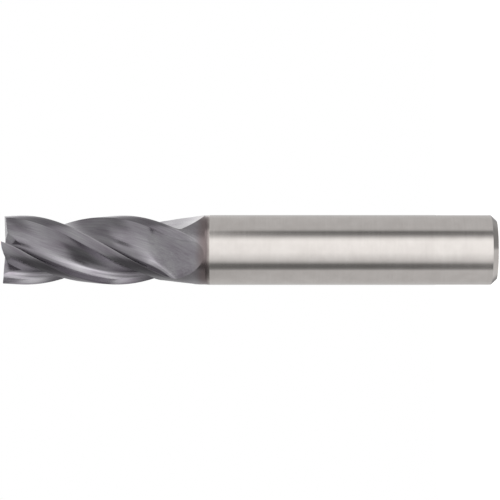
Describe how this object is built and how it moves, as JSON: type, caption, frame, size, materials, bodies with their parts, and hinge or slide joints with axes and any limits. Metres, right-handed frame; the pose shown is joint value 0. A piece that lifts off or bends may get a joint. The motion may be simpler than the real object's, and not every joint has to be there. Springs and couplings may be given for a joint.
{
  "type": "end mill",
  "caption": "Solid carbide square end mill with helical flutes, a dark coated cutting length and a plain cylindrical shank, for a collet or tool holder.",
  "frame": {"origin": "centre of the shank's rear face, on the tool's axis", "axes": "+Z along the axis from the shank to the cutting tip; tooth_1's corner is 17.0 degrees from +X towards +Y at the tip; the tool cuts as it turns from +X towards +Y"},
  "size_m": [0.01, 0.01, 0.0705],
  "materials": {
    "bare_carbide": "polished",
    "coated_carbide": "satin"
  },
  "bodies": {
    "root": {"shank": "bare_carbide", "flute_runout": "coated_carbide", "core": "coated_carbide", "tooth_1": "coated_carbide", "tooth_2": "coated_carbide", "tooth_3": "coated_carbide", "tooth_4": "coated_carbide"}
  },
  "joints": []
}
